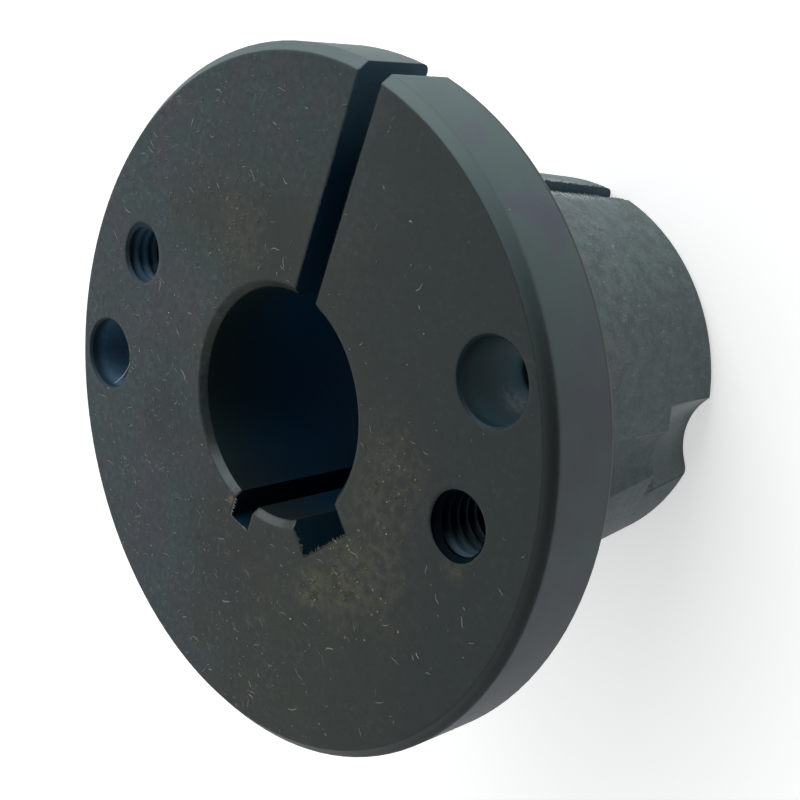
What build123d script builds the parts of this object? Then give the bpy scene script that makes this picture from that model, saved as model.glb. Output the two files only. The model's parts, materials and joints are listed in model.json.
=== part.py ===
"""Split taper bush: a flanged bush that is drawn into a tapered hub and closes on its shaft.

Lengths are in millimetres and angles in degrees. The bush stands on the small end of its barrel, with
the bore along +Z, the flange on top and the slit towards +Y. Angles about the bore are counted from +X,
anticlockwise as seen from above the flange.
"""

from build123d import *
import os

# Flange
flange_diameter = 60.5
flange_thickness = 7.5
rim_front_chamfer = 0.8
rim_back_radius = 0.7

# Tapered barrel, its large end meeting the back of the flange
overall_length = 38.5
barrel_large_diameter = 43.4
barrel_small_diameter = 37.4
barrel_root_radius = 0.6
barrel_end_radius = 1.0

# Bore, with the keyway of a parallel key 6 mm wide
bore_diameter = 20.0
bore_front_chamfer = 0.6
bore_end_chamfer = 0.5
keyway_width = 6.0
keyway_depth = 2.8
keyway_angle = -36.0

# Slit through one side, and the relief slot opposite that lets the ring close
slit_width = 2.7
slit_angle = 90.0
relief_width = 2.6
relief_depth = 2.4

# Tapped holes for the jacking screws, one each side of the slit
tapped_circle_diameter = 44.7
tapped_drill_diameter = 5.0
tapped_mouth_diameter = 5.5
tapped_angle_from_slit = 82.3

# Plain holes for the clamping screws, set in from the rim, each further round than its tapped hole
plain_hole_inset = 5.15
plain_hole_diameter = 6.6
plain_edge_break = 0.2
plain_angle_from_tapped = 27.7

# Stepped clearance for each jacking screw, let into the barrel from its small end, with its axis a
# little further from the slit than the tapped hole's
clearance_angle_from_tapped = 1.8
screw_clearance_diameter = 7.5
screw_head_diameter = 11.6
screw_head_depth = 8.0

# Places worked out from the sizes above
flange_back = overall_length - flange_thickness
bore_radius = bore_diameter / 2
tapped_places = PolarLocations(
    tapped_circle_diameter / 2,
    2,
    start_angle=slit_angle - tapped_angle_from_slit,
    angular_range=2 * tapped_angle_from_slit,
    endpoint=True,
)
clearance_angle_from_slit = tapped_angle_from_slit + clearance_angle_from_tapped
clearance_places = PolarLocations(
    tapped_circle_diameter / 2,
    2,
    start_angle=slit_angle - clearance_angle_from_slit,
    angular_range=2 * clearance_angle_from_slit,
    endpoint=True,
)
plain_places = PolarLocations(
    flange_diameter / 2 - plain_hole_inset,
    2,
    start_angle=slit_angle - tapped_angle_from_slit + plain_angle_from_tapped,
    angular_range=2 * tapped_angle_from_slit,
    endpoint=True,
)


with BuildPart() as taper_bush:
    # The turned blank: half of its lengthwise section, spun about the bore.
    with BuildSketch(Plane.XZ) as section:
        with BuildLine():
            bore_end = (bore_radius, 0)
            barrel_end = (barrel_small_diameter / 2, 0)
            barrel_root = (barrel_large_diameter / 2, flange_back)
            rim_back = (flange_diameter / 2, flange_back)
            rim_front = (flange_diameter / 2, overall_length)
            bore_front = (bore_radius, overall_length)
            Polyline(bore_end, barrel_end, barrel_root, rim_back, rim_front, bore_front, close=True)
        make_face()
        for corner, radius in (
            (barrel_end, barrel_end_radius),
            (barrel_root, barrel_root_radius),
            (rim_back, rim_back_radius),
        ):
            fillet(section.vertices().sort_by_distance(corner)[0], radius=radius)
        for corner, length in (
            (rim_front, rim_front_chamfer),
            (bore_front, bore_front_chamfer),
            (bore_end, bore_end_chamfer),
        ):
            chamfer(section.vertices().sort_by_distance(corner)[0], length=length)
    revolve(axis=Axis.Z)

    # The slit opens the bore to the outside, and the relief slot and the keyway are broached in the bore.
    with BuildSketch():
        Rectangle(flange_diameter, slit_width, slit_angle, align=(Align.MIN, Align.CENTER))
        Rectangle(
            bore_radius + relief_depth,
            relief_width,
            slit_angle + 180,
            align=(Align.MIN, Align.CENTER),
        )
        Rectangle(
            bore_radius + keyway_depth,
            keyway_width,
            keyway_angle,
            align=(Align.MIN, Align.CENTER),
        )
    extrude(amount=overall_length, mode=Mode.SUBTRACT)

    # The screw holes go through the flange from its front face.
    with Locations((0, 0, overall_length)):
        with Locations(plain_places.locations):
            CounterSinkHole(
                plain_hole_diameter / 2,
                plain_hole_diameter / 2 + plain_edge_break,
                depth=flange_thickness,
                counter_sink_angle=90,
            )
        with Locations(tapped_places.locations):
            CounterSinkHole(
                tapped_drill_diameter / 2,
                tapped_mouth_diameter / 2,
                depth=flange_thickness,
                counter_sink_angle=90,
            )

    # Behind each tapped hole, the barrel is cut away for the screw and for its head.
    for diameter, depth in (
        (screw_clearance_diameter, flange_back),
        (screw_head_diameter, screw_head_depth),
    ):
        with BuildSketch():
            with Locations(clearance_places.locations):
                Circle(diameter / 2)
        extrude(amount=depth, mode=Mode.SUBTRACT)

taper_bush.part.label = "split_taper_bush"

os.makedirs("parts", exist_ok=True)
export_step(taper_bush.part, "parts/split_taper_bush.step")
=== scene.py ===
"""Looks of a split taper bush: oxide-blackened iron, tapped jacking holes, torn edges, dust and lint.

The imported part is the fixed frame. Lengths in the classes are in millimetres and become metres where
a mesh is made. The bush stands on the small end of its barrel, bore along +Z, slit towards +Y.
"""

import json
import logging
import math
from collections.abc import Callable
from dataclasses import dataclass
from enum import Enum

import bmesh
import bpy
import numpy as np
from mathutils import Matrix, Vector

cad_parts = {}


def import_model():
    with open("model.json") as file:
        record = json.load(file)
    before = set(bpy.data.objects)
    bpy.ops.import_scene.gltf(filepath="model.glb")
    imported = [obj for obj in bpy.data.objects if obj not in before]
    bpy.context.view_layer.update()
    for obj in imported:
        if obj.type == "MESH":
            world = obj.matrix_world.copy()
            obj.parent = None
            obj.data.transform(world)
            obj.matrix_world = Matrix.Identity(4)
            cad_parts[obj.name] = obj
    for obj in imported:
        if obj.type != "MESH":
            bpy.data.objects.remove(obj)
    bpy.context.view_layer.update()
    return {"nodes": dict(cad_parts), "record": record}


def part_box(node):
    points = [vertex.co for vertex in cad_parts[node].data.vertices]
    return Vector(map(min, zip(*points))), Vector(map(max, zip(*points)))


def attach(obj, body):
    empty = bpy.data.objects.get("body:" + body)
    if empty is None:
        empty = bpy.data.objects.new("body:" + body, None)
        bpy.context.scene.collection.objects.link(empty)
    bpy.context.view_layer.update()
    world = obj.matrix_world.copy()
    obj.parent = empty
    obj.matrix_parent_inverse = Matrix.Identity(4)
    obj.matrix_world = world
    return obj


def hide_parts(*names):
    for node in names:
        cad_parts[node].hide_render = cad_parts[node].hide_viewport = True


MM = 0.001
NODE = "split_taper_bush"
BODY = "root"
LOG = logging.getLogger("bush")

Array = np.ndarray
Material = bpy.types.Material
Object = bpy.types.Object
World = bpy.types.World
Colour = tuple[float, float, float]
Place = tuple[float, float]
Flat = Array | Place
Point = tuple[float, float, float]


def from_screen(red: float, green: float, blue: float) -> Colour:
    """Turn a screen colour of 0 to 255 into the linear colour that shaders use."""
    shares = [c / 255 for c in (red, green, blue)]
    return tuple(s / 12.92 if s <= 10 / 255 else ((s + 0.055) / 1.055) ** 2.4 for s in shares)


# Shader expressions


def joining(operation: str, reflected: bool = False) -> Callable[["Value", object], "Value"]:
    """Make the method of Value for an operator.

    Args:
        operation: the node's operation.
        reflected: whether the Value stands second.

    Returns:
        The method.
    """

    def join(self: "Value", other: object) -> "Value":
        """Join two operands, by a Vector Math node if either is a vector or a colour."""
        pair = (other, self) if reflected else (self, other)
        wide = any(isinstance(v, Value) and v.socket.type in {"VECTOR", "RGBA"} for v in pair)
        kind = "ShaderNodeVectorMath" if wide else "ShaderNodeMath"
        return self.graph.node(kind, dict(enumerate(pair)), operation=operation)

    return join


class Value:
    """A socket of a node tree that takes part in Python expressions; a comparison gives 1 or 0."""

    __add__, __radd__ = joining("ADD"), joining("ADD", True)
    __sub__, __rsub__ = joining("SUBTRACT"), joining("SUBTRACT", True)
    __mul__, __rmul__ = joining("MULTIPLY"), joining("MULTIPLY", True)
    __truediv__ = joining("DIVIDE")
    __gt__, __lt__ = joining("GREATER_THAN"), joining("LESS_THAN")

    def __init__(self, graph: "Graph", socket: bpy.types.NodeSocket) -> None:
        """Wrap a node's output socket."""
        self.graph = graph
        self.socket = socket

    def __abs__(self) -> "Value":
        """Drop the sign."""
        return self.graph.node("ShaderNodeMath", {0: self}, operation="ABSOLUTE")

    def ramp(self, low: float, high: float, first: float = 0.0, last: float = 1.0) -> "Value":
        """Go smoothly from first at low to last at high; low may be the larger."""
        limits = {"Value": self, "From Min": low, "From Max": high, "To Min": first, "To Max": last}
        return self.graph.node("ShaderNodeMapRange", limits, "Result", interpolation_type="SMOOTHSTEP")


Field = Array | Value


def towards_slit(x: Field, y: Field) -> Field:
    """Give how far a place lies along the level line up beside the slit, the side from which the light comes.
    """
    return 0.94 * y - 0.35 * x


def towards_clean_and_shaded(x: Field, y: Field) -> Field:
    """Give how far a place lies along the level line from where dust lies thicker to where it thins, the side
    also painted in shade.
    """
    return 0.91 * x + 0.41 * y


class Graph:
    """The node tree of one material or of the sky."""

    def __init__(self, owner: Material | World, coordinates: str = "Object") -> None:
        """Empty the owner's tree and start it from the place in those coordinates."""
        owner.use_nodes = True
        self.owner = owner
        self.tree = owner.node_tree
        self.tree.nodes.clear()
        self.position = self.node("ShaderNodeTexCoord", out=coordinates)

    def node(self, kind: str, inputs: dict | None = None, out: str | int = 0, **settings: object) -> Value:
        """Add any node.

        Args:
            kind: the node's type.
            inputs: a value or a Value for each socket, by name or number.
            out: the output socket that the result wraps.
            **settings: the node's own properties.

        Returns:
            The chosen output, wrapped.
        """
        made = self.tree.nodes.new(kind)
        for name, value in settings.items():
            setattr(made, name, value)
        for key, value in (inputs or {}).items():
            target = made.inputs[key]
            if isinstance(value, Value):
                self.tree.links.new(value.socket, target)
            elif target.type == "RGBA" and len(value) == 3:
                target.default_value = (*value, 1.0)
            elif target.type == "VECTOR" and isinstance(value, (int, float)):
                target.default_value = (value, value, value)
            else:
                target.default_value = value
        return Value(self, made.outputs[out])

    def mix(self, factor: object, first: object, second: object, blend: str = "MIX") -> Value:
        """Mix two colours.

        Args:
            factor: the share of the second.
            first: a colour or a Value.
            second: a colour or a Value.
            blend: the way in which the second is laid over the first.

        Returns:
            The mixed colour.
        """
        made = self.tree.nodes.new("ShaderNodeMix")
        made.data_type = "RGBA"
        made.blend_type = blend
        sockets = {s.identifier: s for s in made.inputs}
        for place, value in (("Factor_Float", factor), ("A_Color", first), ("B_Color", second)):
            if isinstance(value, Value):
                self.tree.links.new(value.socket, sockets[place])
            else:
                sockets[place].default_value = value if place == "Factor_Float" else (*value, 1.0)
        result = next(s for s in made.outputs if s.identifier == "Result_Color")
        return Value(self, result)

    def noise(
        self, size: float, detail: float = 2.0, roughness: float = 0.5, where: Value | None = None
    ) -> Value:
        """Give cloudy noise of about 0 to 1.

        Args:
            size: about how wide a blotch is, in millimetres.
            detail: how many finer layers it has.
            roughness: how strong the finer layers are.
            where: the place that it reads, if not the surface's own.

        Returns:
            The noise.
        """
        inputs = {
            "Vector": where or self.position,
            "Scale": 1.0 / (size * MM),
            "Detail": detail,
            "Roughness": roughness,
        }
        return self.node("ShaderNodeTexNoise", inputs, "Fac")

    def warped(self, size: float, reach: float, stretch: Point = (1, 1, 1)) -> Value:
        """Give the place, stretched, and pushed about by up to reach millimetres in swirls of that size."""
        inputs = {"Vector": self.position, "Scale": 1.0 / (size * MM), "Detail": 1.0}
        swirl = self.node("ShaderNodeTexNoise", inputs, "Color")
        return self.position * stretch + (swirl - 0.5) * (2.0 * reach * MM)

    def parts(self) -> list[Value]:
        """Split the place, in metres, into x, y and z."""
        split = self.tree.nodes.new("ShaderNodeSeparateXYZ")
        self.tree.links.new(self.position.socket, split.inputs[0])
        return [Value(self, s) for s in split.outputs]

    def distance(self, place: Point, stretch: Point = (1, 1, 1)) -> Value:
        """Give the distance in millimetres from a place, each axis counted stretch times."""
        offset = (self.position - tuple(c * MM for c in place)) * tuple(s / MM for s in stretch)
        return self.node("ShaderNodeVectorMath", {0: offset}, "Value", operation="LENGTH")

    def relief(self, height: Value, strength: object, depth: float, radius: float, samples: int) -> Value:
        """Give the normal of a surface with softened edges and a fine relief.

        Args:
            height: the relief, from 0 to 1.
            strength: how much of it shows.
            depth: how deep it is, in millimetres.
            radius: the radius to which edges are softened, in millimetres.
            samples: how many rays the softening takes.

        Returns:
            The normal.
        """
        soft = self.node("ShaderNodeBevel", {"Radius": radius * MM}, "Normal", samples=samples)
        inputs = {"Height": height, "Strength": strength, "Distance": depth * MM, "Normal": soft}
        return self.node("ShaderNodeBump", inputs, "Normal")

    def finish(self, shader: Value) -> Material | World:
        """Send the shader to the output and give the tree's owner."""
        kind = "World" if isinstance(self.owner, World) else "Material"
        output = self.tree.nodes.new(f"ShaderNodeOutput{kind}")
        self.tree.links.new(shader.socket, output.inputs["Surface"])
        return self.owner

    def solid(self, inputs: dict) -> Material:
        """Finish with the Principled shader on those inputs and give the material."""
        return self.finish(self.node("ShaderNodeBsdfPrincipled", inputs, "BSDF"))


class BushGraph(Graph):
    """The node tree of a finish of the iron, with the places on the bush that it goes by.

    x and y are in metres, as the place is, and the height and the radius are in millimetres.
    """

    def __init__(self, name: str, sizes: "BushSizes") -> None:
        """Start a material of that name for a bush of those sizes."""
        super().__init__(bpy.data.materials.new(name))
        self.sizes = sizes
        self.x, self.y, z = self.parts()
        self.height = z / MM
        self.radius = self.distance((0, 0, 0), (1, 1, 0))

    def near(self, place: Place, start: float, end: float) -> Value:
        """Rise from 0 to 1 as the distance from a place on the front face falls from start to end."""
        return self.distance((*place, self.sizes.flange_front)).ramp(start, end)


# Finishes


@dataclass(frozen=True)
class Stain:
    """A blotch of dried dirt on the front face."""

    x: float
    y: float
    radius: float
    haze: float
    crumbs: float


@dataclass(frozen=True)
class BlackOxide:
    """Black oxide on turned iron: near black, cloudy in tint, with a fine grain and clinging dust.

    The colour under the gloss is very dark, and most of what shows is the rough gloss of the oxide. The
    faced front is darkest and falls to black, as painted shade, on its side where dust thins. The rim and the
    barrel are greyer, with painted light towards the slit and at the rim's low end, painted light and shade
    on the rim's chamfer, painted shade along the flange's back edge and a painted reflection in the pocket.
    """

    face_teal: Colour = from_screen(17, 38, 42)
    face_plum: Colour = from_screen(30, 32, 44)
    face_olive: Colour = from_screen(16, 19, 6)
    # Painted shade: the face falls to this on the side where dust thins, and the rim's chamfer there starts
    # from it.
    face_painted_shade: Colour = from_screen(4, 9, 10)
    # Painted light: the rim's chamfer on that side lightens to this at its edge with the face.
    lip_painted_light: Colour = from_screen(38, 42, 40)
    rim: Colour = from_screen(42, 55, 56)
    rim_plum: Colour = from_screen(45, 48, 58)
    barrel: Colour = from_screen(56, 69, 71)
    barrel_plum: Colour = from_screen(69, 66, 76)
    # Painted highlight on part of the rim's chamfer and on pale patches of the bore's chamfer.
    chamfer_highlight: Colour = from_screen(96, 104, 106)
    # Bright dashes along the slit's brinks, and the painted reflection in the screw head's pocket.
    bright: Colour = from_screen(166, 174, 174)
    tan: Colour = from_screen(128, 116, 72)
    straw: Colour = from_screen(158, 148, 104)
    rust: Colour = from_screen(176, 124, 98)
    dust: Colour = from_screen(160, 168, 164)
    gloss_tint: Colour = (0.88, 1.0, 0.99)
    edge_radius: float = 0.42
    face_step: float = 0.02
    corner_width: float = 0.75
    pocket_depth: float = 0.12
    end_margin: float = 0.1
    stains: tuple[Stain, ...] = (
        Stain(10.3, -12.1, 2.0, 1.9, 1.4),
        Stain(13.3, -9.4, 3.6, 1.3, 0.6),
        Stain(16.5, -6.5, 5.0, 1.2, 0.3),
        Stain(14.2, 3.6, 4.6, 0.8, 0.45),
        Stain(14.8, -1.5, 4.6, 0.9, 0.35),
        Stain(23.2, -0.5, 1.2, 0.9, 0.6),
        Stain(-9.6, 11.4, 3.4, 0.9, 0.4),
        Stain(-12.5, 2.0, 4.6, 0.6, 0.2),
        Stain(5.5, -15.5, 3.6, 0.5, 0.1),
    )
    orange_spot: Place = (-1.7, -11.0)
    # A darker spot on the barrel.
    dark_spot: Point = (19.2, -2.4, 6.4)
    darker: tuple[tuple[Place, float], ...] = (((0.0, -15.5), 9.0), ((-13.0, -9.0), 6.0), ((-6.0, 13.0), 6.0))
    # Paler patches on the bore's chamfer; the one between the relief slot and the keyway is a painted
    # highlight where the chamfer is lit.
    pale_chamfer_patches: tuple[tuple[Place, float, float], ...] = (
        ((-4.2, -9.4), 3.0, 0.42),
        ((3.4, -9.8), 2.6, 0.22),
    )
    # Painted reflection: paler patches in the screw head's pocket.
    pocket_reflections: tuple[tuple[Point, float, float], ...] = (
        ((17.1, 5.3, 2.0), 2.9, 1.0),
        ((16.8, 4.2, 4.8), 2.9, 0.8),
        ((16.5, 2.0, 2.4), 3.4, 0.4),
    )

    def material(self, sizes: "BushSizes") -> Material:
        """Build the material.

        Args:
            sizes: the bush's sizes, which place what differs from zone to zone.

        Returns:
            The material.
        """
        g = BushGraph("black_oxide", sizes)
        above_back = g.height - sizes.flange_back
        turned = (g.radius > sizes.key_reach) * (g.height < sizes.flange_front - self.face_step)
        # Painted light: the rim and the barrel are paler on the side towards the slit, from which the light
        # comes.
        slit_side_painted_light = (towards_slit(g.x, g.y) / MM).ramp(2.0, 25.0)
        barrel = self._barrel(g, above_back) * (0.88 + 0.52 * slit_side_painted_light)
        skin = g.mix(above_back > 0.0, barrel, self._rim(g, slit_side_painted_light))
        # Painted shade along the back edge of the flange's rim.
        corner_painted_shade = (g.radius > sizes.flange_radius - self.corner_width) * (above_back < self.corner_width)
        skin = skin * (1.0 - 0.95 * corner_painted_shade)
        # Painted highlight and shade on the rim's chamfer, away from the slit: paler on the side where dust
        # lies thicker, and on the other side painted shade that lightens towards the face.
        painted_shade_side = (towards_clean_and_shaded(g.x, g.y) / MM).ramp(-6.0, 10.0)
        from_face = g.height - sizes.flange_front
        chamfer = from_face.ramp(-1.3, -0.7) * (1.0 - slit_side_painted_light)
        skin = g.mix(chamfer * (1.0 - painted_shade_side) * 0.35, skin, self.chamfer_highlight)
        shaded = g.mix(from_face.ramp(-0.5, 0.0), self.face_painted_shade, self.lip_painted_light)
        colour = g.mix(turned, self._face(g), g.mix(chamfer * painted_shade_side, skin, shaded))

        on_barrel = turned * (above_back < 0.0)
        fine = g.noise(0.24, 4.0, 0.75)
        rough = 0.46 + 0.1 * (g.noise(3.0, 3.0) - 0.5) + 0.12 * turned + 0.16 * on_barrel * (fine - 0.5)
        inputs = {
            "Base Color": colour,
            "Roughness": rough,
            "Normal": g.relief(fine, 0.2 + 0.7 * on_barrel, 0.03, self.edge_radius, 6),
            "IOR": 1.5,
            "Specular Tint": self.gloss_tint,
        }
        return g.solid(inputs)

    def _rim(self, g: BushGraph, slit_side_painted_light: Value) -> Value:
        """Give the colour of the rim: two tints in clouds, palest, as painted light, on the side towards the
        slit and at its low end.
        """
        up = towards_slit(g.x, g.y) / MM
        tint = g.mix((g.noise(6.0, 2.0) + 0.006 * (8.0 - up)).ramp(0.42, 0.6), self.rim, self.rim_plum)
        # Painted light: paler towards the slit and at the low end.
        return tint * (0.8 + 0.9 * slit_side_painted_light + 0.6 * up.ramp(-24.0, -30.0))

    def _face(self, g: BushGraph) -> Value:
        """Give the colour of the faced front: tints in clouds, painted shade where dust thins, under haze,
        dabs of dust and stains.

        Args:
            g: the material's tree.

        Returns:
            The colour.
        """
        side = towards_clean_and_shaded(g.x, g.y) / MM + 24.0 * (g.noise(8.0, 2.0) - 0.5)
        tint = g.mix(g.noise(5.4, 3.0, 0.45).ramp(0.44, 0.57), self.face_teal, self.face_plum)
        base = g.mix(side.ramp(-18.0, -5.0) * 0.92, tint, self.face_olive)
        base = g.mix((towards_slit(g.x, g.y) / MM).ramp(12.0, 27.0) * 0.75, base, tint)
        # Painted shade: the face falls to near black on the side where dust thins.
        base = g.mix(side.ramp(5.0, 17.0), base, self.face_painted_shade)
        base = base * (0.5 + g.noise(0.7, 3.0, 0.6).ramp(0.3, 0.7))
        for place, reach in self.darker:
            base = base * (1.0 - 0.6 * g.near(place, reach, 0.3 * reach))
        dustiness = 0.3 + 0.7 * side.ramp(14.0, -10.0)
        haze = g.noise(0.6, 3.0, 0.6).ramp(0.5, 0.74) * g.noise(3.2, 2.0).ramp(0.38, 0.62)
        base = g.mix(haze * dustiness * 0.085, base, self.dust)
        dabs = g.noise(0.21, 2.0, where=g.warped(0.5, 0.3)).ramp(0.6, 0.74)
        base = g.mix(dabs * g.noise(1.7, 2.0).ramp(0.42, 0.6) * dustiness * 0.1, base, self.dust)
        return self._soiled_face(g, base)

    def _soiled_face(self, g: BushGraph, base: Value) -> Value:
        """Lay the stains, a spot of rust and pale patches on the bore's chamfer, one of them a painted
        highlight, over the face.

        Args:
            g: the material's tree.
            base: the face's colour.

        Returns:
            The colour.
        """
        grain = g.noise(0.42, 3.0, 0.6).ramp(0.48, 0.7)
        patch = g.noise(0.9, 3.0, 0.6).ramp(0.35, 0.65)
        for stain in self.stains:
            near = g.near((stain.x, stain.y), stain.radius * 1.45, 0.0)
            base = g.mix(near * patch * (0.065 * stain.haze), base, self.tan)
            base = g.mix(near * patch * (0.2 + 0.8 * grain) * (0.18 * stain.crumbs), base, self.straw)
        spot = g.near(self.orange_spot, 0.62, 0.1)
        base = g.mix(spot * (0.35 + 0.65 * grain) * 0.55, base, self.rust)
        chamfer = g.height < g.sizes.flange_front - self.face_step
        # Pale patches on the bore's chamfer; the one between the relief slot and the keyway is a painted
        # highlight.
        for place, reach, share in self.pale_chamfer_patches:
            base = g.mix(g.near(place, reach, 0.3 * reach) * chamfer * share, base, self.chamfer_highlight)
        return base

    def _barrel(self, g: BushGraph, above_back: Value) -> Value:
        """Give the colour of the barrel: mottled at three scales, scuffed, and bright in places.

        The pocket, where the surface lies well within the taper in the screw head's clearance, is paler, with
        paler patches: a painted reflection.
        The slit's brinks carry bright dashes near the small end.

        Args:
            g: the material's tree.
            above_back: the height above the back of the flange.

        Returns:
            The colour.
        """
        sizes = g.sizes
        plum = g.noise(4.0, 2.0).ramp(0.42, 0.62) * above_back.ramp(-26.0, -2.0)
        base = g.mix(plum, self.barrel, self.barrel_plum)
        mottle = g.noise(0.26, 4.0, 0.7).ramp(0.28, 0.72)
        blotch = g.noise(1.4, 3.0, 0.6).ramp(0.3, 0.7)
        base = base * (0.4 + 0.65 * mottle + 0.6 * blotch)
        scuff = g.noise(0.3, 2.0, where=g.warped(0.5, 0.35, (1.0, 1.0, 0.35))).ramp(0.6, 0.72)
        base = g.mix(scuff * g.noise(2.2, 2.0).ramp(0.36, 0.56) * 0.22, base, self.dust)
        sunk = sizes.barrel_radius(above_back + sizes.flange_back) - g.radius
        pocket = (sunk > self.pocket_depth) * (above_back < sizes.head_depth - sizes.flange_back)
        pocket = pocket * (above_back > self.end_margin - sizes.flange_back)
        # Painted reflection: the pocket is paler, and paler still in patches.
        base = g.mix(pocket * 0.24, base, self.bright)
        for place, reach, share in self.pocket_reflections:
            near = pocket * g.distance(place).ramp(reach, 0.2 * reach)
            base = g.mix(near * (0.5 + 0.5 * mottle) * share, base, self.bright)
        brink = (abs(g.x) / MM).ramp(2.7, 1.7) * (g.y > 0.0) * above_back.ramp(-30.0, -22.0)
        dash = g.noise(0.17, 2.0, where=g.warped(0.4, 0.2, (0.4, 1.0, 1.0))).ramp(0.5, 0.62)
        base = g.mix(brink * dash * 0.62, base, self.bright)
        # A darker spot on the barrel.
        dark_spot_share = g.distance(self.dark_spot, (1.0, 1.0, 0.7)).ramp(1.6, 0.3) * g.noise(0.7, 3.0).ramp(0.42, 0.56)
        return base * (1.0 - 0.85 * dark_spot_share)


@dataclass(frozen=True)
class CutLightAndShade:
    """Blue-black iron in the bore, the slots and the screw holes, with little gloss.

    Much of the colour is painted light and shade: the keyway, the relief slot, the slit's inner part and the
    holes' mouths are painted dark as shade, and the slit's outer part and the left screw holes paler as
    light.
    The threads of the right tapped hole are painted in shade, by a near-black metallic colour, but for the
    part that light reaches, which is painted lit, and a pale smear lies in the plain hole next to it.
    """

    mouth: Colour = from_screen(24, 37, 40)
    bore: Colour = from_screen(2, 74, 112)
    # Painted shade in the keyway and the relief slot.
    cut: Colour = from_screen(3, 29, 41)
    # Painted light and shade in the slit: dark within, paler outwards, palest in the barrel's outer part.
    slit_outer_painted_light: Colour = from_screen(52, 76, 90)
    slit: Colour = from_screen(3, 40, 62)
    slit_low_painted_light: Colour = from_screen(92, 116, 124)
    # Painted light in the left screw holes; the right ones are darker, and all darken to painted shade at the
    # mouth.
    hole_left: Colour = from_screen(76, 106, 130)
    hole_left_deep: Colour = from_screen(54, 82, 108)
    smear: Colour = from_screen(150, 160, 164)
    hole_right: Colour = from_screen(26, 56, 64)
    hole_mouth: Colour = from_screen(16, 27, 30)
    # Painted shade and painted light on the right tapped hole's threads.
    threads_painted_shade: Colour = from_screen(3, 10, 16)
    threads_lit: Colour = from_screen(56, 72, 84)
    smeared: Point = (19.4, 11.4, 33.4)
    gloss_tint: Colour = (0.6, 0.88, 1.0)
    edge_radius: float = 0.05
    slot_margin: float = 0.03
    bore_margin: float = 0.05
    countersink_depth: float = 0.85

    def material(self, sizes: "BushSizes") -> Material:
        """Build the material.

        Args:
            sizes: the bush's sizes, which tell the screw holes and the slots from the bore.

        Returns:
            The material.
        """
        g = BushGraph("oily_cut", sizes)
        depth = sizes.flange_front - g.height
        slit = (abs(g.x) < (sizes.slit_width / 2 + self.slot_margin) * MM) * (g.y > 0.0)
        slot = g.mix(slit, self._bore(g, depth), self._slit(g, depth))
        hole, painted_thread_shade = self._holes(g, depth)
        colour = g.mix((g.radius > sizes.key_reach) * (1.0 - slit), slot, hole)
        fine = g.noise(0.3, 4.0, 0.7)
        inputs = {
            "Base Color": colour * (0.6 + 0.8 * fine),
            "Roughness": 0.5 + 0.1 * fine,
            # Metallic over the near-black threads paints shade on them.
            "Metallic": 0.93 * painted_thread_shade,
            "Normal": g.relief(fine, 0.3, 0.02, self.edge_radius, 4),
            "IOR": 1.33,
            "Specular Tint": self.gloss_tint,
        }
        return g.solid(inputs)

    def _bore(self, g: BushGraph, depth: Value) -> Value:
        """Give the colour of the bore, bluer inwards, and of the keyway and the relief slot, which are
        painted dark as shade.
        """
        bore = g.mix(depth.ramp(1.0, 15.0), self.mouth, self.bore)
        bore = bore * (1.0 - 0.6 * (g.y / MM).ramp(-3.0, -8.0) * (g.x / MM).ramp(-7.0, -2.0))
        slots = (g.radius > g.sizes.bore_radius + self.bore_margin) * (g.y < 0.0)
        return g.mix(slots, bore, self.cut)

    def _slit(self, g: BushGraph, depth: Value) -> Value:
        """Give the colour of the slit's walls, painted light and shade: paler outwards and palest in the
        outer part of the barrel.
        """
        wall = g.mix(g.radius.ramp(20.0, 28.0), self.slit, self.slit_outer_painted_light)
        below = (depth > g.sizes.flange_front - g.sizes.flange_back) * g.radius.ramp(17.0, 20.0)
        return g.mix(below, wall, self.slit_low_painted_light)

    def _holes(self, g: BushGraph, depth: Value) -> tuple[Value, Value]:
        """Give the look of the screw holes, with painted light and shade.

        Args:
            g: the material's tree.
            depth: the depth below the front face.

        Returns:
            Their colour, and where the threads are painted in shade.
        """
        # Painted light and shade: the left holes are paler than the right, and paler just below the mouth
        # than deep down, and every hole darkens to painted shade just at its mouth.
        left = g.mix(depth.ramp(1.5, 7.0), self.hole_left, self.hole_left_deep)
        hole = g.mix(g.x > 0.0, left, self.hole_right)
        hole = g.mix(depth.ramp(1.6, 0.5) * 0.9, hole, self.hole_mouth)
        wiped = g.distance(self.smeared).ramp(1.9, 0.2) * g.noise(0.6, 3.0, 0.6).ramp(0.25, 0.75)
        hole = g.mix(wiped * 0.45, hole, self.smear)
        # The right tapped hole's threads: painted shade, by a near-black metallic colour, but for the part
        # that light reaches, which gets a painted lit colour.
        px, py = max(g.sizes.tapped_holes)
        tapped = g.distance((px, py, 0), (1, 1, 0)) < g.sizes.thread_radius + g.sizes.hole_margin
        lit = (towards_slit(g.x - px * MM, g.y - py * MM) / MM).ramp(-0.9, -2.8)
        lit = lit * (depth > self.countersink_depth)
        hole = g.mix(tapped, hole, g.mix(lit, self.threads_painted_shade, self.threads_lit))
        return hole, tapped * (1.0 - lit)


@dataclass(frozen=True)
class DustFinish:
    """Lint, grit and bare burrs, each bit with its own tone, kept in the mesh's tone attribute."""

    name: str
    colour: Colour
    roughness: float = 0.9

    def material(self) -> Material:
        """Build the material."""
        g = Graph(bpy.data.materials.new(self.name))
        tone = g.node("ShaderNodeAttribute", out="Fac", attribute_name="tone")
        return g.solid({"Base Color": g.mix(1.0, self.colour, tone, "MULTIPLY"), "Roughness": self.roughness})


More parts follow.
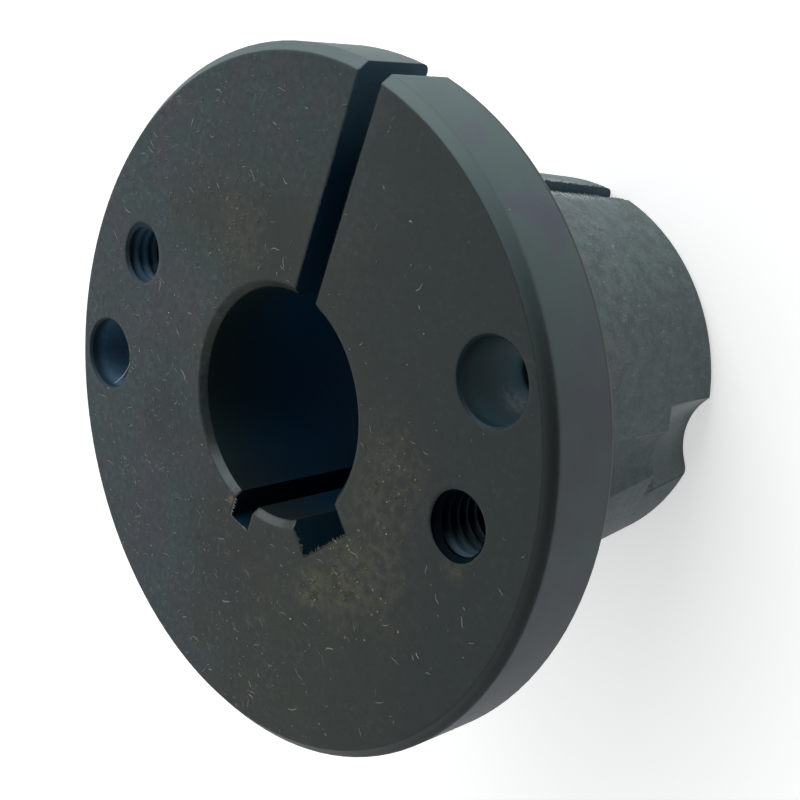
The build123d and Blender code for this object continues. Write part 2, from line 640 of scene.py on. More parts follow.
@dataclass(frozen=True)
class StudioFloor:
    """A white sweep that keeps the shadow: it shows near white, and darkens where light is held off."""

    colour: Colour = (0.8, 0.8, 0.8)
    seen_glow: float = 0.5
    mirrored_glow: float = 0.5

    def material(self) -> Material:
        """Build the material.

        Returns:
            The material.
        """
        g = Graph(bpy.data.materials.new("floor_paper"))
        seen = g.node("ShaderNodeLightPath", out="Is Camera Ray") * self.seen_glow
        mirrored = g.node("ShaderNodeLightPath", out="Is Glossy Ray") * self.mirrored_glow
        paper = g.node("ShaderNodeBsdfDiffuse", {"Color": self.colour}, "BSDF")
        glow = g.node("ShaderNodeEmission", {"Color": (1, 1, 1), "Strength": seen + mirrored}, "Emission")
        return g.finish(g.node("ShaderNodeAddShader", {0: paper, 1: glow}, "Shader"))


# The bush


def chord_reach(radius: float, width: float) -> float:
    """Give how far out from the axis a circle crosses the side of a cut of that width."""
    return math.sqrt(radius**2 - (width / 2) ** 2)


@dataclass(frozen=True)
class BushSizes:
    """Sizes of the bush in millimetres: the mounts' from the frame, and the small cuts' as set here."""

    flange_radius: float
    flange_back: float
    flange_front: float
    bore_radius: float
    tapped_holes: tuple[Place, ...]
    plain_holes: tuple[Place, ...]
    plain_radius: float
    barrel_large_radius: float = 21.7
    barrel_small_radius: float = 18.7
    rim_chamfer: float = 0.8
    bore_chamfer: float = 0.6
    slit_width: float = 2.7
    relief_width: float = 2.6
    relief_depth: float = 2.4
    keyway_width: float = 6.0
    keyway_depth: float = 2.8
    keyway_angle: float = -36.0
    thread_radius: float = 3.0
    hole_margin: float = 0.04
    clearance_radius: float = 3.75
    clearance_turn: float = 1.8
    head_depth: float = 8.0
    screw_head_radius: float = 5.8

    @classmethod
    def from_frame(cls, record: dict) -> "BushSizes":
        """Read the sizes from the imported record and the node's box.

        Args:
            record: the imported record.

        Returns:
            The sizes.
        """
        mounts = {m["name"]: m for m in record["mounts"]}
        low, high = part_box(NODE)

        def places(kind: str) -> tuple[Place, ...]:
            """List the axes of the holes whose names start so."""
            found = [m["pos_m"] for name, m in mounts.items() if name.startswith(kind)]
            return tuple((p[0] / MM, p[1] / MM) for p in found)

        return cls(
            flange_radius=high.x / MM,
            flange_back=mounts["flange_back"]["pos_m"][2] / MM,
            flange_front=high.z / MM,
            bore_radius=mounts["shaft_bore"]["dims"]["r_mm"],
            tapped_holes=places("tapped_hole"),
            plain_holes=places("plain_hole"),
            plain_radius=mounts["plain_hole_right"]["dims"]["r_mm"],
        )

    @property
    def key_reach(self) -> float:
        """A radius just past the corners of the keyway."""
        return math.hypot(self.bore_radius + self.keyway_depth, self.keyway_width / 2) + 0.3

    @property
    def mouth_radius(self) -> float:
        """The radius of the bore's mouth, chamfer and all."""
        return self.bore_radius + self.bore_chamfer

    def hole_reaches(self) -> list[tuple[Place, float]]:
        """List each screw hole's axis and the radius just past its wall."""
        plain = [(place, self.plain_radius + self.hole_margin) for place in self.plain_holes]
        return plain + [(place, self.thread_radius + self.hole_margin) for place in self.tapped_holes]

    def on_face(self, x: Array, y: Array, margin: float) -> Array:
        """Tell which points lie on the front face.

        Args:
            x: the points' first coordinates.
            y: their second ones.
            margin: how far they have to keep from the face's edges and holes.

        Returns:
            A truth for each point.
        """
        radius = np.hypot(x, y)
        good = radius > self.mouth_radius + margin
        good &= radius < self.flange_radius - self.rim_chamfer - margin
        good &= (np.abs(x) > self.slit_width / 2 + margin) | (y < 0)
        relief = self.bore_radius + self.relief_depth + margin
        good &= (np.abs(x) > self.relief_width / 2 + margin) | (y > 0) | (y < -relief)
        turn = math.radians(self.keyway_angle)
        along = x * math.cos(turn) + y * math.sin(turn)
        aside = y * math.cos(turn) - x * math.sin(turn)
        key = self.bore_radius + self.keyway_depth + margin
        good &= (np.abs(aside) > self.keyway_width / 2 + margin) | (along < 0) | (along > key)
        for (px, py), reach in self.hole_reaches():
            good &= np.hypot(x - px, y - py) > reach + margin
        return good

    def groove_edge(self, z: float, way: int) -> Point:
        """Give the point at a height where the right screw clearance's wall runs out through the barrel.

        The barrel's radius, the clearance's radius and the distance of its axis are the sides of a
        triangle, whose angle at the bore's axis is counted from the clearance's axis.

        Args:
            z: the height.
            way: 1 for the edge nearer the slit, -1 for the other.

        Returns:
            The point.
        """
        px, py = max(self.tapped_holes)
        axis = math.hypot(px, py)
        radius = float(self.barrel_radius(z))
        cosine = (radius**2 + axis**2 - self.clearance_radius**2) / (2 * radius * axis)
        angle = math.atan2(py, px) - math.radians(self.clearance_turn) + way * math.acos(cosine)
        return radius * math.cos(angle), radius * math.sin(angle), z

    def barrel_radius(self, z: float | Field) -> float | Field:
        """Give the barrel's radius at a height."""
        slope = (self.barrel_large_radius - self.barrel_small_radius) / self.flange_back
        return self.barrel_small_radius + slope * z


def placed(name: str, data: bpy.types.ID) -> Object:
    """Put an object with that data in the scene, at the origin."""
    made = bpy.data.objects.new(name, data)
    bpy.context.scene.collection.objects.link(made)
    return made


def new_object(name: str, vertices: Array, faces: list | Array, material: Material | None = None) -> Object:
    """Make a mesh object from points in millimetres.

    Args:
        name: the object's name.
        vertices: points, one a row.
        faces: corners of each face.
        material: its finish.

    Returns:
        The object, at the origin.
    """
    mesh = bpy.data.meshes.new(name)
    mesh.from_pydata((np.asarray(vertices) * MM).tolist(), [], [list(map(int, f)) for f in faces])
    mesh.validate()
    if material:
        mesh.materials.append(material)
    return placed(name, mesh)


def add_tones(piece: Object, tones: Array) -> None:
    """Keep one tone for each vertex in the mesh's tone attribute."""
    kept = piece.data.attributes.new("tone", "FLOAT", "POINT")
    kept.data.foreach_set("value", np.asarray(tones, np.float32))


def tube_faces(tubes: int, rings: int) -> list[list[int]]:
    """List the faces of three-sided tubes, closed at both ends.

    Each side of a tube is a row of quads from one ring of three points to the next, and its first and
    last rings are triangles that face away from each other.

    Args:
        tubes: how many tubes there are.
        rings: how many rings each has.

    Returns:
        The corners of each face.
    """
    starts = np.arange(tubes)[:, None] * rings * 3
    first = starts + np.arange(rings - 1) * 3
    rows = []
    for a, b in ((0, 1), (1, 2), (2, 0)):
        quads = np.stack([first + a, first + a + 3, first + b + 3, first + b], -1)
        rows += quads.reshape(-1, 4).tolist()
    rows += (starts + [0, 1, 2]).tolist()
    rows += (starts + (rings - 1) * 3 + [0, 2, 1]).tolist()
    return rows


@dataclass(frozen=True)
class MetricTap:
    """The shape that a metric tap cuts: a right-hand screw with the profile of a metric inner thread."""

    major_radius: float = 3.0
    pitch: float = 1.0
    steps: int = 72

    def cutter(self, centre: Place, bottom: float, top: float, start: float) -> Object:
        """Build the screw as a closed mesh.

        The wall is one ribbon wound about the axis: along it the angle grows evenly and the height by
        one pitch a turn, and across it the radius follows the thread's profile, a narrow land, a flank,
        a wide land and a flank. The last edge of a turn is joined to the first edge of the next, and a
        fan from the axis closes each end. The thread is five eighths of its sharp triangle deep.

        Args:
            centre: the axis.
            bottom: the lowest height.
            top: the height that the last full turn passes.
            start: the angle, in degrees, where the thread begins.

        Returns:
            The cutter.
        """
        depth = 0.625 * math.sqrt(3) / 2 * self.pitch
        narrow, wide = self.pitch / 4, self.pitch / 8
        flank = (self.pitch - narrow - wide) / 2
        profile_z = np.array([0.0, narrow, narrow + flank, narrow + flank + wide])
        profile_r = self.major_radius - np.array([depth, depth, 0.0, 0.0])
        n = self.steps
        last = n * math.ceil((top - bottom) / self.pitch)
        along = np.arange(last + 1)
        angle = math.radians(start) + 2 * np.pi * along / n
        height = bottom + self.pitch * along / n
        ring = np.empty((last + 1, 4, 3))
        ring[..., 0] = centre[0] + profile_r * np.cos(angle)[:, None]
        ring[..., 1] = centre[1] + profile_r * np.sin(angle)[:, None]
        ring[..., 2] = height[:, None] + profile_z
        ends = np.array([[*centre, bottom + self.pitch / 2], [*centre, height[-1]]])
        vertices = np.concatenate([ring.reshape(-1, 3), ends])
        i = np.arange(last)
        faces = [np.stack([4 * i + j, 4 * i + 4 + j, 4 * i + 5 + j, 4 * i + 1 + j], 1) for j in range(3)]
        i = np.arange(last - n)
        faces.append(np.stack([4 * i + 3, 4 * i + 7, 4 * (i + n + 1), 4 * (i + n)], 1))
        low, high = len(vertices) - 2, len(vertices) - 1
        lower = [4 * k for k in range(n + 1)] + [3, 2, 1, 0]
        upper = [4 * k + 3 for k in range(last - n, last + 1)]
        upper += [4 * last + 2, 4 * last + 1, 4 * last, upper[0]]
        rows = np.concatenate(faces).tolist()
        rows += [[low, b, a] for a, b in zip(lower, lower[1:])]
        rows += [[high, a, b] for a, b in zip(upper, upper[1:])]
        return new_object("tap", vertices, rows)


@dataclass
class BushBody:
    """The iron body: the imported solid's own form, with threads cut in its two tapped holes."""

    sizes: BushSizes
    tap: MetricTap = MetricTap()
    thread_starts: tuple[float, float] = (125.0, 330.0)
    tap_below: float = 1.5
    tap_above: float = 1.0
    merge_reach: float = 0.001
    sharp_angle: float = 27.0
    wall_slope: float = 0.5
    thread_relief: float = 0.2
    slit_margin: float = 0.02
    level_margin: float = 0.01

    def build(self, source: Object, oxide: Material, cut_shading: Material) -> Object:
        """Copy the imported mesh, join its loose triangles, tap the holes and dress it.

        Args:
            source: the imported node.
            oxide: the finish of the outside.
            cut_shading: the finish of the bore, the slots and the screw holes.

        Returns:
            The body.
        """
        joined = bmesh.new()
        joined.from_mesh(source.data)
        bmesh.ops.remove_doubles(joined, verts=joined.verts, dist=self.merge_reach * MM)
        bmesh.ops.recalc_face_normals(joined, faces=joined.faces)
        mesh = bpy.data.meshes.new("bush_body")
        joined.to_mesh(mesh)
        joined.free()
        mesh.attributes.remove(mesh.attributes["custom_normal"])
        body = placed("bush_body", mesh)
        bottom = self.sizes.flange_back - self.tap_below
        top = self.sizes.flange_front + self.tap_above
        for hole, start in zip(self.sizes.tapped_holes, self.thread_starts):
            self._cut(body, self.tap.cutter(hole, bottom, top, start))
        body.data.materials.clear()
        body.data.materials.append(oxide)
        body.data.materials.append(cut_shading)
        body.data.polygons.foreach_set("material_index", self._is_cut(body.data).astype(np.int32))
        body.data.shade_smooth()
        body.data.set_sharp_from_angle(angle=math.radians(self.sharp_angle))
        even = body.modifiers.new("even_normals", "WEIGHTED_NORMAL")
        even.keep_sharp = True
        return body

    def _is_cut(self, mesh: bpy.types.Mesh) -> Array:
        """Tell which faces are walls of the bore, the slots and the screw holes, chamfers apart.

        Args:
            mesh: the body's mesh.

        Returns:
            A truth for each face.
        """
        sizes = self.sizes
        count = len(mesh.polygons)
        centre, normal = np.empty(3 * count), np.empty(3 * count)
        mesh.polygons.foreach_get("center", centre)
        mesh.polygons.foreach_get("normal", normal)
        x, y, z = centre.reshape(-1, 3).T / MM
        upright = np.abs(normal.reshape(-1, 3)[:, 2]) < self.wall_slope
        inside = upright & (np.hypot(x, y) < sizes.key_reach)
        inside |= upright & (np.abs(x) < sizes.slit_width / 2 + self.slit_margin) & (y > 0)
        low, high = sizes.flange_back + self.level_margin, sizes.flange_front - self.level_margin
        level = (z > low) & (z < high)
        for (px, py), reach in sizes.hole_reaches():
            inside |= level & (np.hypot(x - px, y - py) < reach + self.thread_relief)
        return inside

    def _cut(self, body: Object, cutter: Object) -> None:
        """Take the cutter out of the body and delete it."""
        difference = body.modifiers.new("tap", "BOOLEAN")
        difference.operation = "DIFFERENCE"
        difference.solver = "MANIFOLD"
        difference.object = cutter
        graph = bpy.context.evaluated_depsgraph_get()
        cut = bpy.data.meshes.new_from_object(body.evaluated_get(graph))
        body.modifiers.remove(difference)
        body.data = cut
        bpy.data.objects.remove(cutter)


@dataclass
class Lint:
    """Fibres of lint that lie on the front face, each a thin three-sided thread along a curved line.

    A fibre starts at a random place and heading, and its heading turns at a steady rate with a little
    wander, so that the line is the running sum of short steps along the heading.
    """

    sizes: BushSizes
    faint: int = 900
    bright: int = 34
    points: int = 8
    length: tuple[float, float] = (0.22, 1.5)
    faint_width: tuple[float, float] = (0.07, 0.16)
    bright_width: tuple[float, float] = (0.05, 0.09)
    laid: tuple[Place, Place] = ((-20.1, -7.5), (-21.75, -10.9))
    laid_bow: float = 0.35
    laid_width: float = 0.07
    laid_tone: float = 0.7
    lift: float = 0.002
    seed: int = 11

    def build(self, material: Material) -> Object:
        """Lay the fibres: many short dull ones, some brighter ones and one across the left plain hole.

        Args:
            material: their finish.

        Returns:
            One object with all fibres.
        """
        rng = np.random.default_rng(self.seed)
        start, end = np.array(self.laid)
        laid = start + np.linspace(0, 1, self.points)[:, None] * (end - start)
        laid[:, 0] += self.laid_bow * np.sin(np.linspace(0, math.pi, self.points))
        faint, bright = self._scattered(rng, self.faint, 4.0), self._scattered(rng, self.bright, 1.6)
        faint_widths = rng.uniform(*self.faint_width, self.faint)
        bright_widths = rng.uniform(*self.bright_width, self.bright)
        faint_tones = 0.09 + 0.15 * rng.uniform(0, 1, self.faint) ** 1.5
        bright_tones = 0.18 + 0.45 * rng.uniform(0, 1, self.bright) ** 2
        widths = np.concatenate([faint_widths, bright_widths, [self.laid_width]])
        tones = np.concatenate([faint_tones, bright_tones, [self.laid_tone]])
        return self._swept(np.concatenate([faint, bright, laid[None]]), widths, tones, material)

    def _scattered(self, rng: np.random.Generator, count: int, shortness: float) -> Array:
        """Draw fibres at random, densest where dust lies thicker, and keep those that lie wholly on the face.

        A length is the shortest plus a share of the range that is a random number to the power of the
        shortness, and a fibre is likelier where a slow wave over the face is high.

        Args:
            rng: the source of random numbers.
            count: how many fibres to keep.
            shortness: how much commoner short ones are.

        Returns:
            The points of each fibre.
        """
        tries = count * 14
        reach = self.sizes.flange_radius
        start = rng.uniform(-reach, reach, (tries, 2))
        size = rng.uniform(0, 1, tries) ** shortness * (self.length[1] - self.length[0]) + self.length[0]
        heading = rng.uniform(0, 2 * math.pi, tries)
        turn = rng.normal(0, 0.1, tries)
        wander = rng.normal(0, 0.2, (tries, self.points))
        angle = heading[:, None] + np.arange(self.points) * turn[:, None] + np.cumsum(wander, 1)
        step = (size / self.points)[:, None]
        line = np.stack([np.cos(angle) * step, np.sin(angle) * step], 2)
        line = start[:, None] + np.cumsum(line, 1)
        clear = self.sizes.on_face(line[..., 0], line[..., 1], 0.1).all(1)
        x, y = start.T
        wave = np.sin(x * 0.9 + 1.3 * np.sin(y * 0.7)) * np.sin(y * 0.8 + 1.0)
        share = np.clip(0.5 - towards_clean_and_shaded(x, y) / 38, 0.08, 1.0) * (0.65 + 0.45 * wave)
        likely = rng.uniform(0, 1, tries) < share
        return line[np.flatnonzero(clear & likely)[:count]]

    def _swept(self, lines: Array, widths: Array, tones: Array, material: Material) -> Object:
        """Sweep a triangle along each line: the side vector is the line's direction turned by a quarter.

        Args:
            lines: the points of each fibre.
            widths: how wide each is, before it tapers to its ends.
            tones: how pale each is.
            material: their finish.

        Returns:
            One object with all fibres.
        """
        count, points = lines.shape[:2]
        ahead = np.gradient(lines, axis=1)
        ahead /= np.linalg.norm(ahead, axis=2, keepdims=True)
        side = np.stack([-ahead[..., 1], ahead[..., 0]], 2)
        taper = np.sin(np.linspace(0.25, math.pi - 0.25, points)) ** 0.5
        half = widths[:, None] / 2 * taper
        ring = np.full((count, points, 3, 3), self.sizes.flange_front + self.lift)
        ring[..., 0, :2] = lines + side * half[..., None]
        ring[..., 1, :2] = lines - side * half[..., None]
        ring[..., 2, :2] = lines
        ring[..., 2, 2] += 0.7 * half
        made = new_object("lint", ring.reshape(-1, 3), tube_faces(count, points), material)
        add_tones(made, np.repeat(tones, points * 3))
        return made


@dataclass
class Grit:
    """Grains of dust and dirt: eight-sided crumbs of uneven size, half sunk where they stick."""

    name: str
    seed: int

    def build(self, places: Array, radii: Array, tones: Array, material: Material) -> Object:
        """Make one crumb at each place.

        A crumb is an octahedron whose six corners are each moved along their own axis by a random
        share, and which is turned by a random angle about the upright.

        Args:
            places: centres, one a row.
            radii: each crumb's size.
            tones: each crumb's tone.
            material: their finish.

        Returns:
            One object with all crumbs.
        """
        rng = np.random.default_rng(self.seed)
        corners = np.array([[1, 0, 0], [-1, 0, 0], [0, 1, 0], [0, -1, 0], [0, 0, 1], [0, 0, -1]], float)
        spread = rng.uniform(0.55, 1.25, (len(places), 6, 1))
        turn = rng.uniform(0, 2 * math.pi, len(places))
        cos, sin = np.cos(turn)[:, None], np.sin(turn)[:, None]
        x, y, z = np.moveaxis(corners * spread * radii[:, None, None], 2, 0)
        turned = np.stack([x * cos - y * sin, x * sin + y * cos, z], 2)
        upper = np.array([[0, 2, 4], [2, 1, 4], [1, 3, 4], [3, 0, 4]])
        lower = np.array([[2, 0, 5], [1, 2, 5], [3, 1, 5], [0, 3, 5]])
        triangles = np.concatenate([upper, lower])
        rows = (np.arange(len(places))[:, None, None] * 6 + triangles).reshape(-1, 3)
        made = new_object(self.name, (places[:, None] + turned).reshape(-1, 3), rows.tolist(), material)
        add_tones(made, np.repeat(tones, 6))
        return made


@dataclass
class Dirt:
    """All loose dirt on the bush: pale specks on face, rim and barrel, and heaps of tan crumbs."""

    sizes: BushSizes
    face_specks: int = 420
    barrel_specks: int = 220
    rim_specks: int = 60
    crumb_heaps: tuple[tuple[float, float, float, int], ...] = (
        (10.3, -12.1, 0.75, 26),
        (13.0, -9.0, 1.6, 50),
        (14.8, 4.5, 2.2, 40),
        (15.5, 0.5, 2.4, 36),
        (17.0, -6.5, 2.2, 26),
        (-9.6, 11.4, 1.2, 26),
    )
    seed: int = 5

    def build(self, pale: Material, tan: Material) -> list[Object]:
        """Scatter the dirt.

        Args:
            pale: the finish of the specks.
            tan: the finish of the crumbs.

        Returns:
            The objects.
        """
        rng = np.random.default_rng(self.seed)
        specks = np.concatenate([self._on_face(rng), self._on_rim(rng), self._on_barrel(rng)])
        radii = 0.03 + 0.07 * rng.uniform(0, 1, len(specks)) ** 4
        tones = 0.12 + 0.7 * rng.uniform(0, 1, len(specks)) ** 4
        heaps = []
        for x, y, spread, count in self.crumb_heaps:
            place = rng.normal(0, spread, (count, 2)) + (x, y)
            heaps.append(place[self.sizes.on_face(place[:, 0], place[:, 1], 0.05)])
        flat = np.concatenate(heaps)
        crumbs = np.column_stack([flat, np.full(len(flat), self.sizes.flange_front)])
        crumb_radii = 0.05 + 0.12 * rng.uniform(0, 1, len(crumbs)) ** 2
        crumb_tones = 0.14 + 0.34 * rng.uniform(0, 1, len(crumbs)) ** 2
        return [
            Grit("dust_specks", 3).build(specks, radii, tones, pale),
            Grit("rust_crumbs", 4).build(crumbs, crumb_radii, crumb_tones, tan),
        ]

    def _on_face(self, rng: np.random.Generator) -> Array:
        """Scatter places on the face, densest where dust lies thicker."""
        reach = self.sizes.flange_radius
        flat = rng.uniform(-reach, reach, (self.face_specks * 8, 2))
        x, y = flat.T
        likely = rng.uniform(0, 1, len(flat)) < np.clip(0.6 - towards_clean_and_shaded(x, y) / 50, 0.15, 1.0)
        flat = flat[self.sizes.on_face(x, y, 0.1) & likely][: self.face_specks]
        return np.column_stack([flat, np.full(len(flat), self.sizes.flange_front)])

    def _on_rim(self, rng: np.random.Generator) -> Array:
        """Scatter places round the rim, clear of the slit."""
        angle = rng.uniform(math.radians(95), math.radians(445), self.rim_specks)
        z = rng.uniform(self.sizes.flange_back + 1.0, self.sizes.flange_front - 1.2, self.rim_specks)
        radius = self.sizes.flange_radius
        return np.column_stack([radius * np.cos(angle), radius * np.sin(angle), z])

    def _on_barrel(self, rng: np.random.Generator) -> Array:
        """Scatter places on the barrel, clear of the slit and of the screw clearances."""
        tries = self.barrel_specks * 3
        angle = rng.uniform(0, 2 * math.pi, tries)
        z = rng.uniform(1.5, self.sizes.flange_back - 1.0, tries)
        radius = self.sizes.barrel_radius(z)
        x, y = radius * np.cos(angle), radius * np.sin(angle)
        good = (np.abs(x) > self.sizes.slit_width / 2 + 0.2) | (y < 0)
        for px, py in self.sizes.tapped_holes:
            good &= np.hypot(x - px, y - py) > self.sizes.screw_head_radius + 0.2
        return np.column_stack([x, y, z])[good][: self.barrel_specks]


class BurrSkin(Enum):
    """Whether a burr was blackened with the bush or shows bare iron."""

    BLACKENED = "blackened"
    BARE = "bare"


@dataclass(frozen=True)
class RaggedEdge:
    """A burr that a cutter left along an edge: a thin ribbon whose free side runs out in uneven teeth.

    The free side lies off the edge by a noise: a slow wave of teeth times a fast one, never below zero.
    The ribbon reaches out across the edge and has its thickness along its lift.
    """

    name: str
    start: Point
    end: Point
    reach: Point
    width: float
    seed: int
    lift: Point = (0.0, 0.0, 1.0)
    skin: BurrSkin = BurrSkin.BLACKENED
    spacing: float = 0.09
    thickness: float = 0.03
    brightness: float = 1.0

    def points(self) -> tuple[Array, Array]:
        """Give the edge's points and the free side's points.

        Returns:
            Both sides, one point a row.
        """
        start, end = np.array(self.start), np.array(self.end)
        count = max(6, int(np.linalg.norm(end - start) / self.spacing))
        rng = np.random.default_rng(self.seed)
        edge = start + np.linspace(0, 1, count)[:, None] * (end - start)
        crests = np.arange(0, count + 8, 8)
        slow = np.interp(np.arange(count), crests, rng.uniform(0.15, 1.0, len(crests)))
        teeth = slow * rng.uniform(0, 1, count) ** 1.5
        teeth[[0, -1]] = 0.0
        off = np.array(self.reach) / np.linalg.norm(self.reach)
        return edge, edge + off * (teeth * self.width)[:, None]

    def build(self, material: Material) -> Object:
        """Make the ribbon as a closed thin wedge: the edge's line, its copy set back, and the free line.

        Args:
            material: its finish.

        Returns:
            The burr.
        """
        edge, free = self.points()
        up = np.array(self.lift) / np.linalg.norm(self.lift) * self.thickness
        count = len(edge)
        ring = np.stack([edge + up / 2, edge - up, free], 1)
        made = new_object(self.name, ring.reshape(-1, 3), tube_faces(1, count), material)
        outward = bmesh.new()
        outward.from_mesh(made.data)
        bmesh.ops.recalc_face_normals(outward, faces=outward.faces)
        outward.to_mesh(made.data)
        outward.free()
        tones = np.random.default_rng(self.seed + 50).uniform(0.5, 1.0, count) * self.brightness
        add_tones(made, np.repeat(tones, 3))
        return made


@dataclass
class Burrs:
    """The burrs: at the mouths of the keyway, the relief slot and the slit, and on the barrel's edges."""

    sizes: BushSizes
    groove_heights: tuple[float, float] = (8.2, 14.0)
    lip_low: float = 1.6
    lip_margin: float = 0.8

    def build(self, skins: dict[BurrSkin, Material]) -> list[Object]:
        """Make all burrs, each with its own skin's finish."""
        edges = [*self._keyway(), *self._relief(), self._groove(), *self._slit()]
        return [edge.build(skins[edge.skin]) for edge in edges]

    def _flat(
        self, name: str, start: Flat, end: Flat, reach: Flat, width: float, seed: int, **kind: object
    ) -> RaggedEdge:
        """Give a ragged edge that lies in the front face."""
        top = self.sizes.flange_front
        return RaggedEdge(name, (*start, top), (*end, top), (*reach, 0.0), width, seed, **kind)

    def _keyway(self) -> list[RaggedEdge]:
        """List the edges at the keyway's mouth: its floor and its two sides."""
        sizes = self.sizes
        turn = math.radians(sizes.keyway_angle)
        out = np.array([math.cos(turn), math.sin(turn)])
        aside = np.array([-math.sin(turn), math.cos(turn)])
        half = aside * (sizes.keyway_width / 2)
        floor = out * (sizes.bore_radius + sizes.keyway_depth)
        mouth = out * chord_reach(sizes.mouth_radius, sizes.keyway_width)
        return [
            self._flat("burr_key_floor", floor - half, floor + half, -out, 0.5, 1),
            self._flat("burr_key_low_side", mouth - half, floor - half, aside, 0.8, 2),
            self._flat("burr_key_high_side", mouth + half, floor + half, -aside, 0.1, 3),
        ]

    def _relief(self) -> list[RaggedEdge]:
        """List the edges at the relief slot's mouth: its left side and its floor."""
        side, deep = self.sizes.relief_width / 2, self.sizes.bore_radius + self.sizes.relief_depth
        brink = chord_reach(self.sizes.mouth_radius, self.sizes.relief_width)
        kind = {"skin": BurrSkin.BARE, "brightness": 0.4}
        return [
            self._flat("burr_relief_left", (-side, -brink), (-side, -deep), (1.0, 0.0), 0.5, 21, **kind),
            self._flat("burr_relief_floor", (-side, -deep), (side, -deep), (0.0, 1.0), 0.4, 22, **kind),
        ]

    def _groove(self) -> RaggedEdge:
        """Give the edge where the right screw clearance runs out through the barrel."""
        start, end = (self.sizes.groove_edge(z, 1) for z in self.groove_heights)
        kind = {"lift": (0.0, 1.0, 0.0), "skin": BurrSkin.BARE, "spacing": 0.12}
        return RaggedEdge("burr_groove", start, end, (*start[:2], 0.0), 0.1, 31, **kind)

    def _slit(self) -> list[RaggedEdge]:
        """List the slit's edges on each side: across the front face, then down the barrel."""
        sizes = self.sizes
        near = chord_reach(sizes.mouth_radius, sizes.slit_width)
        far = chord_reach(sizes.flange_radius - sizes.rim_chamfer, sizes.slit_width)
        heights = (sizes.flange_back - self.lip_margin, self.lip_low)
        edges = []
        for way, side, seed, width in ((-1, "left", 4, 0.2), (1, "right", 5, 0.12)):
            x = way * sizes.slit_width / 2
            edges.append(self._flat(f"burr_slit_{side}", (x, near), (x, far), (-way, 0.0), width, seed))
            start, end = ((x, chord_reach(sizes.barrel_radius(z), sizes.slit_width), z) for z in heights)
            kind = {"lift": (way, 0.3, 0.0), "skin": BurrSkin.BARE, "spacing": 0.1}
            reach = (-0.35 * way, 1.0, 0.0)
            edges.append(RaggedEdge(f"burr_barrel_{side}", start, end, reach, 0.4, seed + 2, **kind))
        return edges


# Studio


@dataclass(frozen=True)
class Camera:
    """The camera: it looks down on the flange's front face, rolled so that the slit points up."""

    place: Point = (72.5, 55.74, 111.33)
    target: Point = (11.38, 11.95, 38.5)
    up: Point = (-0.49712, 0.86179, -0.10094)
    sensor: float = 36.0
    lens: float = 61.717
    shift_up: float = -0.0625

    def build(self) -> Object:
        """Make it the scene's camera.

        Returns:
            The camera.
        """
        data = bpy.data.cameras.new("camera")
        data.sensor_width = self.sensor
        data.lens = self.lens
        data.shift_y = self.shift_up
        data.clip_start = 1.0 * MM
        back = (Vector(self.place) - Vector(self.target)).normalized()
        right = Vector(self.up).cross(back).normalized()
        turn = Matrix((right, back.cross(right), back)).transposed().to_4x4()
        camera = placed("camera", data)
        camera.matrix_world = Matrix.Translation(Vector(self.place) * MM) @ turn
        bpy.context.scene.camera = camera
        return camera


@dataclass(frozen=True)
class SoftBox:
    """A square soft light that faces the bush."""

    name: str
    direction: Point
    distance: float
    width: float
    power: float
    colour: Colour = (1.0, 1.0, 1.0)

    def build(self, aim: Vector) -> Object:
        """Place it in its direction from the aim.

        Args:
            aim: the point it faces, in metres.

        Returns:
            The light.
        """
        data = bpy.data.lights.new(self.name, "AREA")
        data.shape = "SQUARE"
        data.size = self.width
        data.energy = self.power
        data.color = self.colour
        light = placed(self.name, data)
        towards = Vector(self.direction).normalized()
        light.location = aim + towards * self.distance
        light.rotation_euler = towards.to_track_quat("Z", "Y").to_euler()
        return light


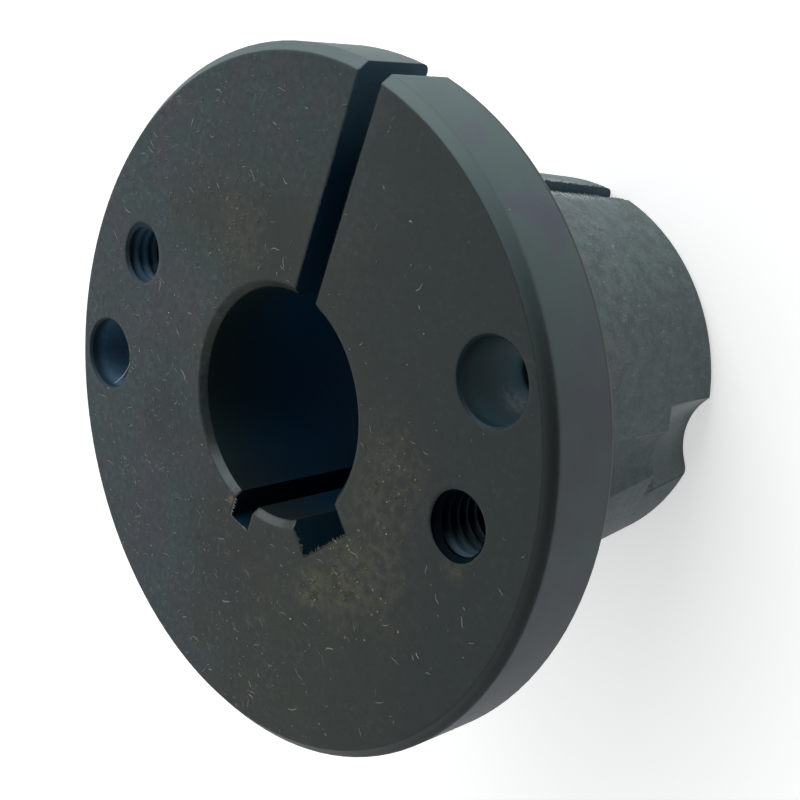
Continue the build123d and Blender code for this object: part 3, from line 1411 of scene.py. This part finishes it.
@dataclass(frozen=True)
class Sky:
    """Even light from all round, but for one dim side and a fall towards the low side.

    The strength of a direction is the high or the low side's, blended along the rise, times a smooth
    dip about the dim side's middle.
    """

    tint: Colour = (0.96, 1.0, 1.0)
    rise: Point = (-0.50, 0.86, -0.10)
    low: float = 0.6
    high: float = 1.25
    dim_side: Point = (0.66, 0.46, 0.60)
    dim: float = 0.1
    dim_from: float = 56.0
    dim_to: float = 24.0

    def build(self) -> World:
        """Build the sky, white to the camera itself.

        Returns:
            The world.
        """
        g = Graph(bpy.data.worlds.new("sky"), "Generated")

        def cosine(axis: Point) -> Value:
            """Give the cosine between the direction and an axis."""
            pair = {0: g.position, 1: tuple(Vector(axis).normalized())}
            return g.node("ShaderNodeVectorMath", pair, "Value", operation="DOT_PRODUCT")

        start, end = (math.cos(math.radians(a)) for a in (self.dim_from, self.dim_to))
        fall = cosine(self.rise).ramp(-1.0, 1.0, self.low, self.high)
        dip = cosine(self.dim_side).ramp(start, end, 1.0, self.dim)
        sky = g.node("ShaderNodeBackground", {"Color": self.tint, "Strength": fall * dip})
        white = g.node("ShaderNodeBackground", {"Color": (1.0, 1.0, 1.0), "Strength": 1.0})
        seen = g.node("ShaderNodeLightPath", out="Is Camera Ray")
        return g.finish(g.node("ShaderNodeMixShader", {0: seen, 1: sky, 2: white}))


@dataclass(frozen=True)
class Studio:
    """The pale floor, the sky and the soft boxes."""

    floor_size: float = 4.0
    aim_height: float = 20.0
    sky: Sky = Sky()
    boxes: tuple[SoftBox, ...] = (SoftBox("key", (-0.48, 0.84, 0.3), 0.6, 0.5, 3.0),)

    def build(self, floor: Material) -> None:
        """Set up the floor, the world and the lights.

        Args:
            floor: the floor's finish.
        """
        half = self.floor_size / 2 / MM
        corners = [(-half, -half, 0), (half, -half, 0), (half, half, 0), (-half, half, 0)]
        new_object("floor", corners, [(0, 1, 2, 3)], floor)
        aim = Vector((0.0, 0.0, self.aim_height * MM))
        for box in self.boxes:
            box.build(aim)
        bpy.context.scene.world = self.sky.build()
        bpy.context.scene.view_settings.view_transform = "Standard"


def main() -> None:
    """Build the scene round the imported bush."""
    logging.basicConfig(level=logging.INFO, format="%(name)s: %(message)s")
    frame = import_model()
    Camera().build()
    sizes = BushSizes.from_frame(frame["record"])
    oxide = BlackOxide().material(sizes)
    body = BushBody(sizes).build(frame["nodes"][NODE], oxide, CutLightAndShade().material(sizes))
    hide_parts(NODE)
    pale = DustFinish("pale_dust", from_screen(214, 214, 204)).material()
    tan = DustFinish("tan_dirt", from_screen(176, 166, 118)).material()
    bare = DustFinish("bare_iron", from_screen(150, 158, 158), 0.6).material()
    pieces = [body, Lint(sizes).build(pale)]
    pieces += Dirt(sizes).build(pale, tan)
    pieces += Burrs(sizes).build({BurrSkin.BLACKENED: oxide, BurrSkin.BARE: bare})
    for piece in pieces:
        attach(piece, BODY)
        LOG.info("%s: %d faces", piece.name, len(piece.data.polygons))
    Studio().build(StudioFloor().material())


if __name__ == "__main__":
    main()
